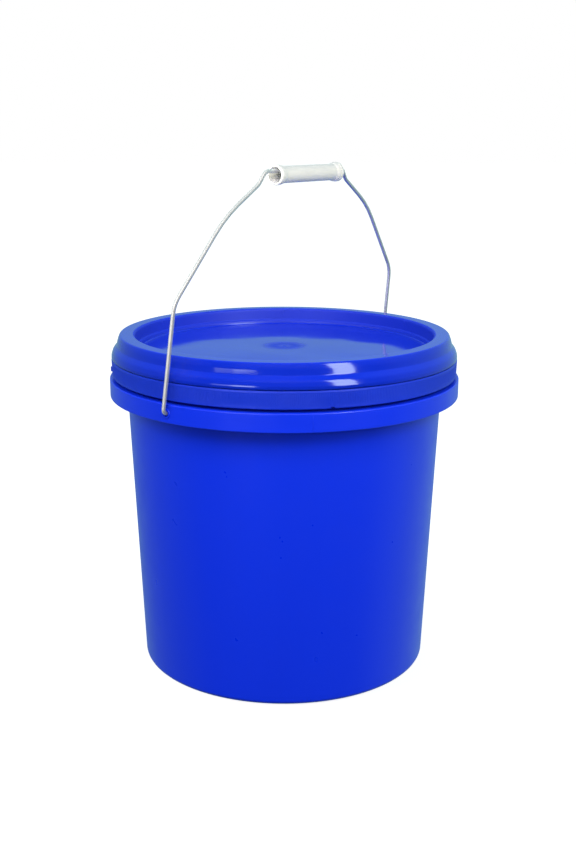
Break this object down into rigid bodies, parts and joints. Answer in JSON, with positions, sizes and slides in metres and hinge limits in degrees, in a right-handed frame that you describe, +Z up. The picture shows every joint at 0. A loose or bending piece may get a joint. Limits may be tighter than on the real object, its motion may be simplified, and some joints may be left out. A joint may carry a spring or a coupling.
{
  "type": "wash bucket",
  "caption": "Round plastic wash bucket with a press-on lid, a tear band, a carrying ring, and a wire bail that swings over the lid and carries a loose tubular grip.",
  "frame": {"origin": "middle of the foot, on the surface that the bucket stands on", "axes": "+Z up; X along the axis that the bail turns about, through both ears; the bail leans to -Y"},
  "size_m": [0.288, 0.28, 0.4021],
  "materials": {
    "pail_plastic": "glossy moulded blue",
    "lid_plastic": "high-gloss moulded blue",
    "band_plastic": "finely fluted moulded blue",
    "gasket_rubber": "soft foamed grey",
    "bail_steel": "bright galvanised",
    "grip_plastic": "satin moulded white"
  },
  "bodies": {
    "pail": {"pail": "pail_plastic"},
    "lid": {"lid": "lid_plastic", "tear_band": "band_plastic", "lid_gasket": "gasket_rubber"},
    "bail": {"bail_wire": "bail_steel"},
    "grip": {"grip": "grip_plastic"}
  },
  "joints": [
    {"name": "bail_swing", "type": "hinge", "parent": "pail", "child": "bail", "pos_m": [0, 0, 0.2285], "axis": [1, 0, 0], "range_deg": [-135, 122]},
    {"name": "grip_turn", "type": "hinge", "parent": "bail", "child": "grip", "pos_m": [0.0025, -0.0195, 0.39446], "axis": [1, 0, 0], "continuous": true},
    {"name": "lid_lift", "type": "slide", "parent": "pail", "child": "lid", "axis": [0, 0, 1], "range_m": [0, 0.017]}
  ]
}
